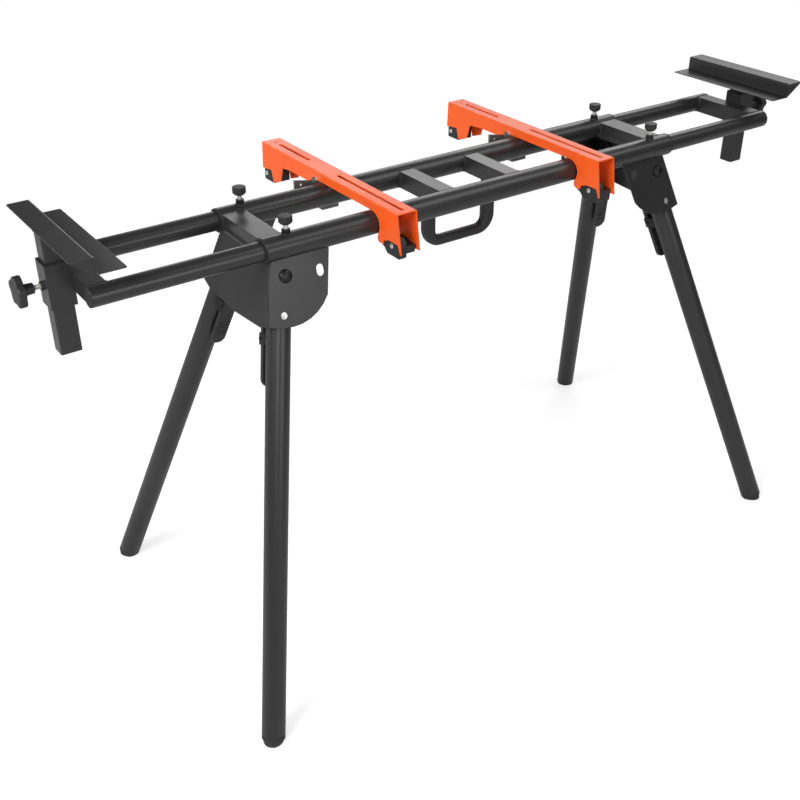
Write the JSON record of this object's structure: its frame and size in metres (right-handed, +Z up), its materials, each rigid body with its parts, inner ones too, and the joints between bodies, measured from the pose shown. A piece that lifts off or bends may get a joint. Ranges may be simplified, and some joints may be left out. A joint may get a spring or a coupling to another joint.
{
  "type": "miter saw stand",
  "caption": "Folding steel stand that carries a miter saw on two sliding arms between two rails, with extensions and work supports at both ends.",
  "frame": {"origin": "on the floor under the middle of the stand", "axes": "+X along the rails, +Y away from the user's side, +Z up"},
  "size_m": [1.594, 0.6434, 0.8466],
  "materials": {
    "dark_paint": "satin dark grey powder coat",
    "orange_paint": "satin orange powder coat",
    "black_plastic": "matt moulded plastic",
    "black_steel": "black oxide",
    "bright_steel": "bright zinc plate"
  },
  "bodies": {
    "frame": {"main_tube_near": "dark_paint", "main_tube_far": "dark_paint", "cross_channel_left": "dark_paint", "cross_channel_right": "dark_paint", "leg_bracket_left": "dark_paint", "leg_bracket_right": "dark_paint", "crossbar_left": "dark_paint", "crossbar_right": "dark_paint", "carry_handle": "black_plastic", "tube_bush_near_left": "black_plastic", "tube_bush_far_left": "black_plastic", "tube_bush_near_right": "black_plastic", "tube_bush_far_right": "black_plastic", "pivot_bolt_near_left": "black_steel", "pivot_bolt_far_left": "black_steel", "pivot_bolt_near_right": "black_steel", "pivot_bolt_far_right": "black_steel"},
    "extension_left": {"end_frame_left": "dark_paint", "extension_tube_near_left": "dark_paint", "extension_tube_far_left": "dark_paint"},
    "post_left": {"support_post_left": "dark_paint", "work_support_left": "dark_paint"},
    "side_knob_left": {"side_knob_left": "black_plastic"},
    "tube_knob_near_left": {"tube_knob_near_left": "black_plastic"},
    "tube_knob_far_left": {"tube_knob_far_left": "black_plastic"},
    "extension_right": {"end_frame_right": "dark_paint", "extension_tube_near_right": "dark_paint", "extension_tube_far_right": "dark_paint"},
    "post_right": {"support_post_right": "dark_paint", "work_support_right": "dark_paint"},
    "side_knob_right": {"side_knob_right": "black_plastic"},
    "tube_knob_near_right": {"tube_knob_near_right": "black_plastic"},
    "tube_knob_far_right": {"tube_knob_far_right": "black_plastic"},
    "leg_near_left": {"leg_tube_near_left": "dark_paint", "foot_cap_near_left": "black_plastic"},
    "lever_near_left": {"lock_lever_near_left": "black_plastic"},
    "pin_near_left": {"lock_pin_near_left": "bright_steel"},
    "leg_far_left": {"leg_tube_far_left": "dark_paint", "foot_cap_far_left": "black_plastic"},
    "lever_far_left": {"lock_lever_far_left": "black_plastic"},
    "pin_far_left": {"lock_pin_far_left": "bright_steel"},
    "leg_near_right": {"leg_tube_near_right": "dark_paint", "foot_cap_near_right": "black_plastic"},
    "lever_near_right": {"lock_lever_near_right": "black_plastic"},
    "pin_near_right": {"lock_pin_near_right": "bright_steel"},
    "leg_far_right": {"leg_tube_far_right": "dark_paint", "foot_cap_far_right": "black_plastic"},
    "lever_far_right": {"lock_lever_far_right": "black_plastic"},
    "pin_far_right": {"lock_pin_far_right": "bright_steel"},
    "arm_left": {"saw_arm_left": "orange_paint", "rail_hook_left": "black_steel", "end_block_near_left": "black_plastic", "end_block_far_left": "black_plastic"},
    "catch_left": {"release_catch_left": "black_plastic"},
    "arm_right": {"saw_arm_right": "orange_paint", "rail_hook_right": "black_steel", "end_block_near_right": "black_plastic", "end_block_far_right": "black_plastic"},
    "catch_right": {"release_catch_right": "black_plastic"}
  },
  "joints": [
    {"name": "extension_slide_left", "type": "slide", "parent": "frame", "child": "extension_left", "axis": [-1, 0, 0], "range_m": [-0.24, 0.115]},
    {"name": "post_lift_left", "type": "slide", "parent": "extension_left", "child": "post_left", "axis": [0, 0, 1], "range_m": [-0.018, 0.1]},
    {"name": "side_knob_turn_left", "type": "hinge", "parent": "extension_left", "child": "side_knob_left", "pos_m": [-0.7544, 0, 0.765], "axis": [-1, 0, 0], "range_deg": [0, 360]},
    {"name": "tube_knob_turn_near_left", "type": "hinge", "parent": "frame", "child": "tube_knob_near_left", "pos_m": [-0.394, -0.0756, 0.7997], "axis": [0, 0, 1], "range_deg": [0, 360]},
    {"name": "tube_knob_turn_far_left", "type": "hinge", "parent": "frame", "child": "tube_knob_far_left", "pos_m": [-0.394, 0.0756, 0.7997], "axis": [0, 0, 1], "range_deg": [0, 360]},
    {"name": "extension_slide_right", "type": "slide", "parent": "frame", "child": "extension_right", "axis": [1, 0, 0], "range_m": [-0.24, 0.115]},
    {"name": "post_lift_right", "type": "slide", "parent": "extension_right", "child": "post_right", "axis": [0, 0, 1], "range_m": [-0.018, 0.1]},
    {"name": "side_knob_turn_right", "type": "hinge", "parent": "extension_right", "child": "side_knob_right", "pos_m": [0.7544, 0, 0.765], "axis": [1, 0, 0], "range_deg": [0, 360]},
    {"name": "tube_knob_turn_near_right", "type": "hinge", "parent": "frame", "child": "tube_knob_near_right", "pos_m": [0.394, -0.0756, 0.7997], "axis": [0, 0, 1], "range_deg": [0, 360]},
    {"name": "tube_knob_turn_far_right", "type": "hinge", "parent": "frame", "child": "tube_knob_far_right", "pos_m": [0.394, 0.0756, 0.7997], "axis": [0, 0, 1], "range_deg": [0, 360]},
    {"name": "leg_fold_near_left", "type": "hinge", "parent": "frame", "child": "leg_near_left", "pos_m": [-0.40853, -0.07097, 0.7145], "axis": [0, -0.9507, 0.3101], "range_deg": [0, 104.29]},
    {"name": "lever_squeeze_near_left", "type": "hinge", "parent": "leg_near_left", "child": "lever_near_left", "pos_m": [-0.43371, -0.07025, 0.6103], "axis": [-0.969, 0.0765, 0.2347], "range_deg": [0, 5.5], "stiffness_Nm_per_rad": 1.5},
    {"name": "pin_draw_near_left", "type": "slide", "parent": "leg_near_left", "child": "pin_near_left", "axis": [0, 0.9507, -0.3101], "range_m": [0, 0.004]},
    {"name": "leg_fold_far_left", "type": "hinge", "parent": "frame", "child": "leg_far_left", "pos_m": [-0.40853, 0.07097, 0.7145], "axis": [0, -0.9507, -0.3101], "range_deg": [0, 104.29]},
    {"name": "lever_squeeze_far_left", "type": "hinge", "parent": "leg_far_left", "child": "lever_far_left", "pos_m": [-0.43371, 0.07025, 0.6103], "axis": [0.969, 0.0765, -0.2347], "range_deg": [0, 5.5], "stiffness_Nm_per_rad": 1.5},
    {"name": "pin_draw_far_left", "type": "slide", "parent": "leg_far_left", "child": "pin_far_left", "axis": [0, -0.9507, -0.3101], "range_m": [0, 0.004]},
    {"name": "leg_fold_near_right", "type": "hinge", "parent": "frame", "child": "leg_near_right", "pos_m": [0.40853, -0.07097, 0.7145], "axis": [0, -0.9507, 0.3101], "range_deg": [-104.29, 0]},
    {"name": "lever_squeeze_near_right", "type": "hinge", "parent": "leg_near_right", "child": "lever_near_right", "pos_m": [0.43371, -0.07025, 0.6103], "axis": [-0.969, -0.0765, -0.2347], "range_deg": [0, 5.5], "stiffness_Nm_per_rad": 1.5},
    {"name": "pin_draw_near_right", "type": "slide", "parent": "leg_near_right", "child": "pin_near_right", "axis": [0, 0.9507, -0.3101], "range_m": [0, 0.004]},
    {"name": "leg_fold_far_right", "type": "hinge", "parent": "frame", "child": "leg_far_right", "pos_m": [0.40853, 0.07097, 0.7145], "axis": [0, -0.9507, -0.3101], "range_deg": [-104.29, 0]},
    {"name": "lever_squeeze_far_right", "type": "hinge", "parent": "leg_far_right", "child": "lever_far_right", "pos_m": [0.43371, 0.07025, 0.6103], "axis": [0.969, -0.0765, 0.2347], "range_deg": [0, 5.5], "stiffness_Nm_per_rad": 1.5},
    {"name": "pin_draw_far_right", "type": "slide", "parent": "leg_far_right", "child": "pin_far_right", "axis": [0, -0.9507, -0.3101], "range_m": [0, 0.004]},
    {"name": "arm_slide_left", "type": "slide", "parent": "frame", "child": "arm_left", "axis": [1, 0, 0], "range_m": [-0.08, 0.14]},
    {"name": "catch_turn_left", "type": "hinge", "parent": "arm_left", "child": "catch_left", "pos_m": [-0.2165, -0.127, 0.74], "axis": [1, 0, 0], "range_deg": [-12, 0], "stiffness_Nm_per_rad": 0.3},
    {"name": "arm_slide_right", "type": "slide", "parent": "frame", "child": "arm_right", "axis": [1, 0, 0], "range_m": [-0.14, 0.08]},
    {"name": "catch_turn_right", "type": "hinge", "parent": "arm_right", "child": "catch_right", "pos_m": [0.211, -0.127, 0.74], "axis": [1, 0, 0], "range_deg": [-12, 0], "stiffness_Nm_per_rad": 0.3}
  ],
  "couplings": [
    {"joint": "pin_draw_near_left", "follows": "lever_squeeze_near_left", "m_per_rad": 0.04},
    {"joint": "pin_draw_far_left", "follows": "lever_squeeze_far_left", "m_per_rad": 0.04},
    {"joint": "pin_draw_near_right", "follows": "lever_squeeze_near_right", "m_per_rad": 0.04},
    {"joint": "pin_draw_far_right", "follows": "lever_squeeze_far_right", "m_per_rad": 0.04}
  ]
}
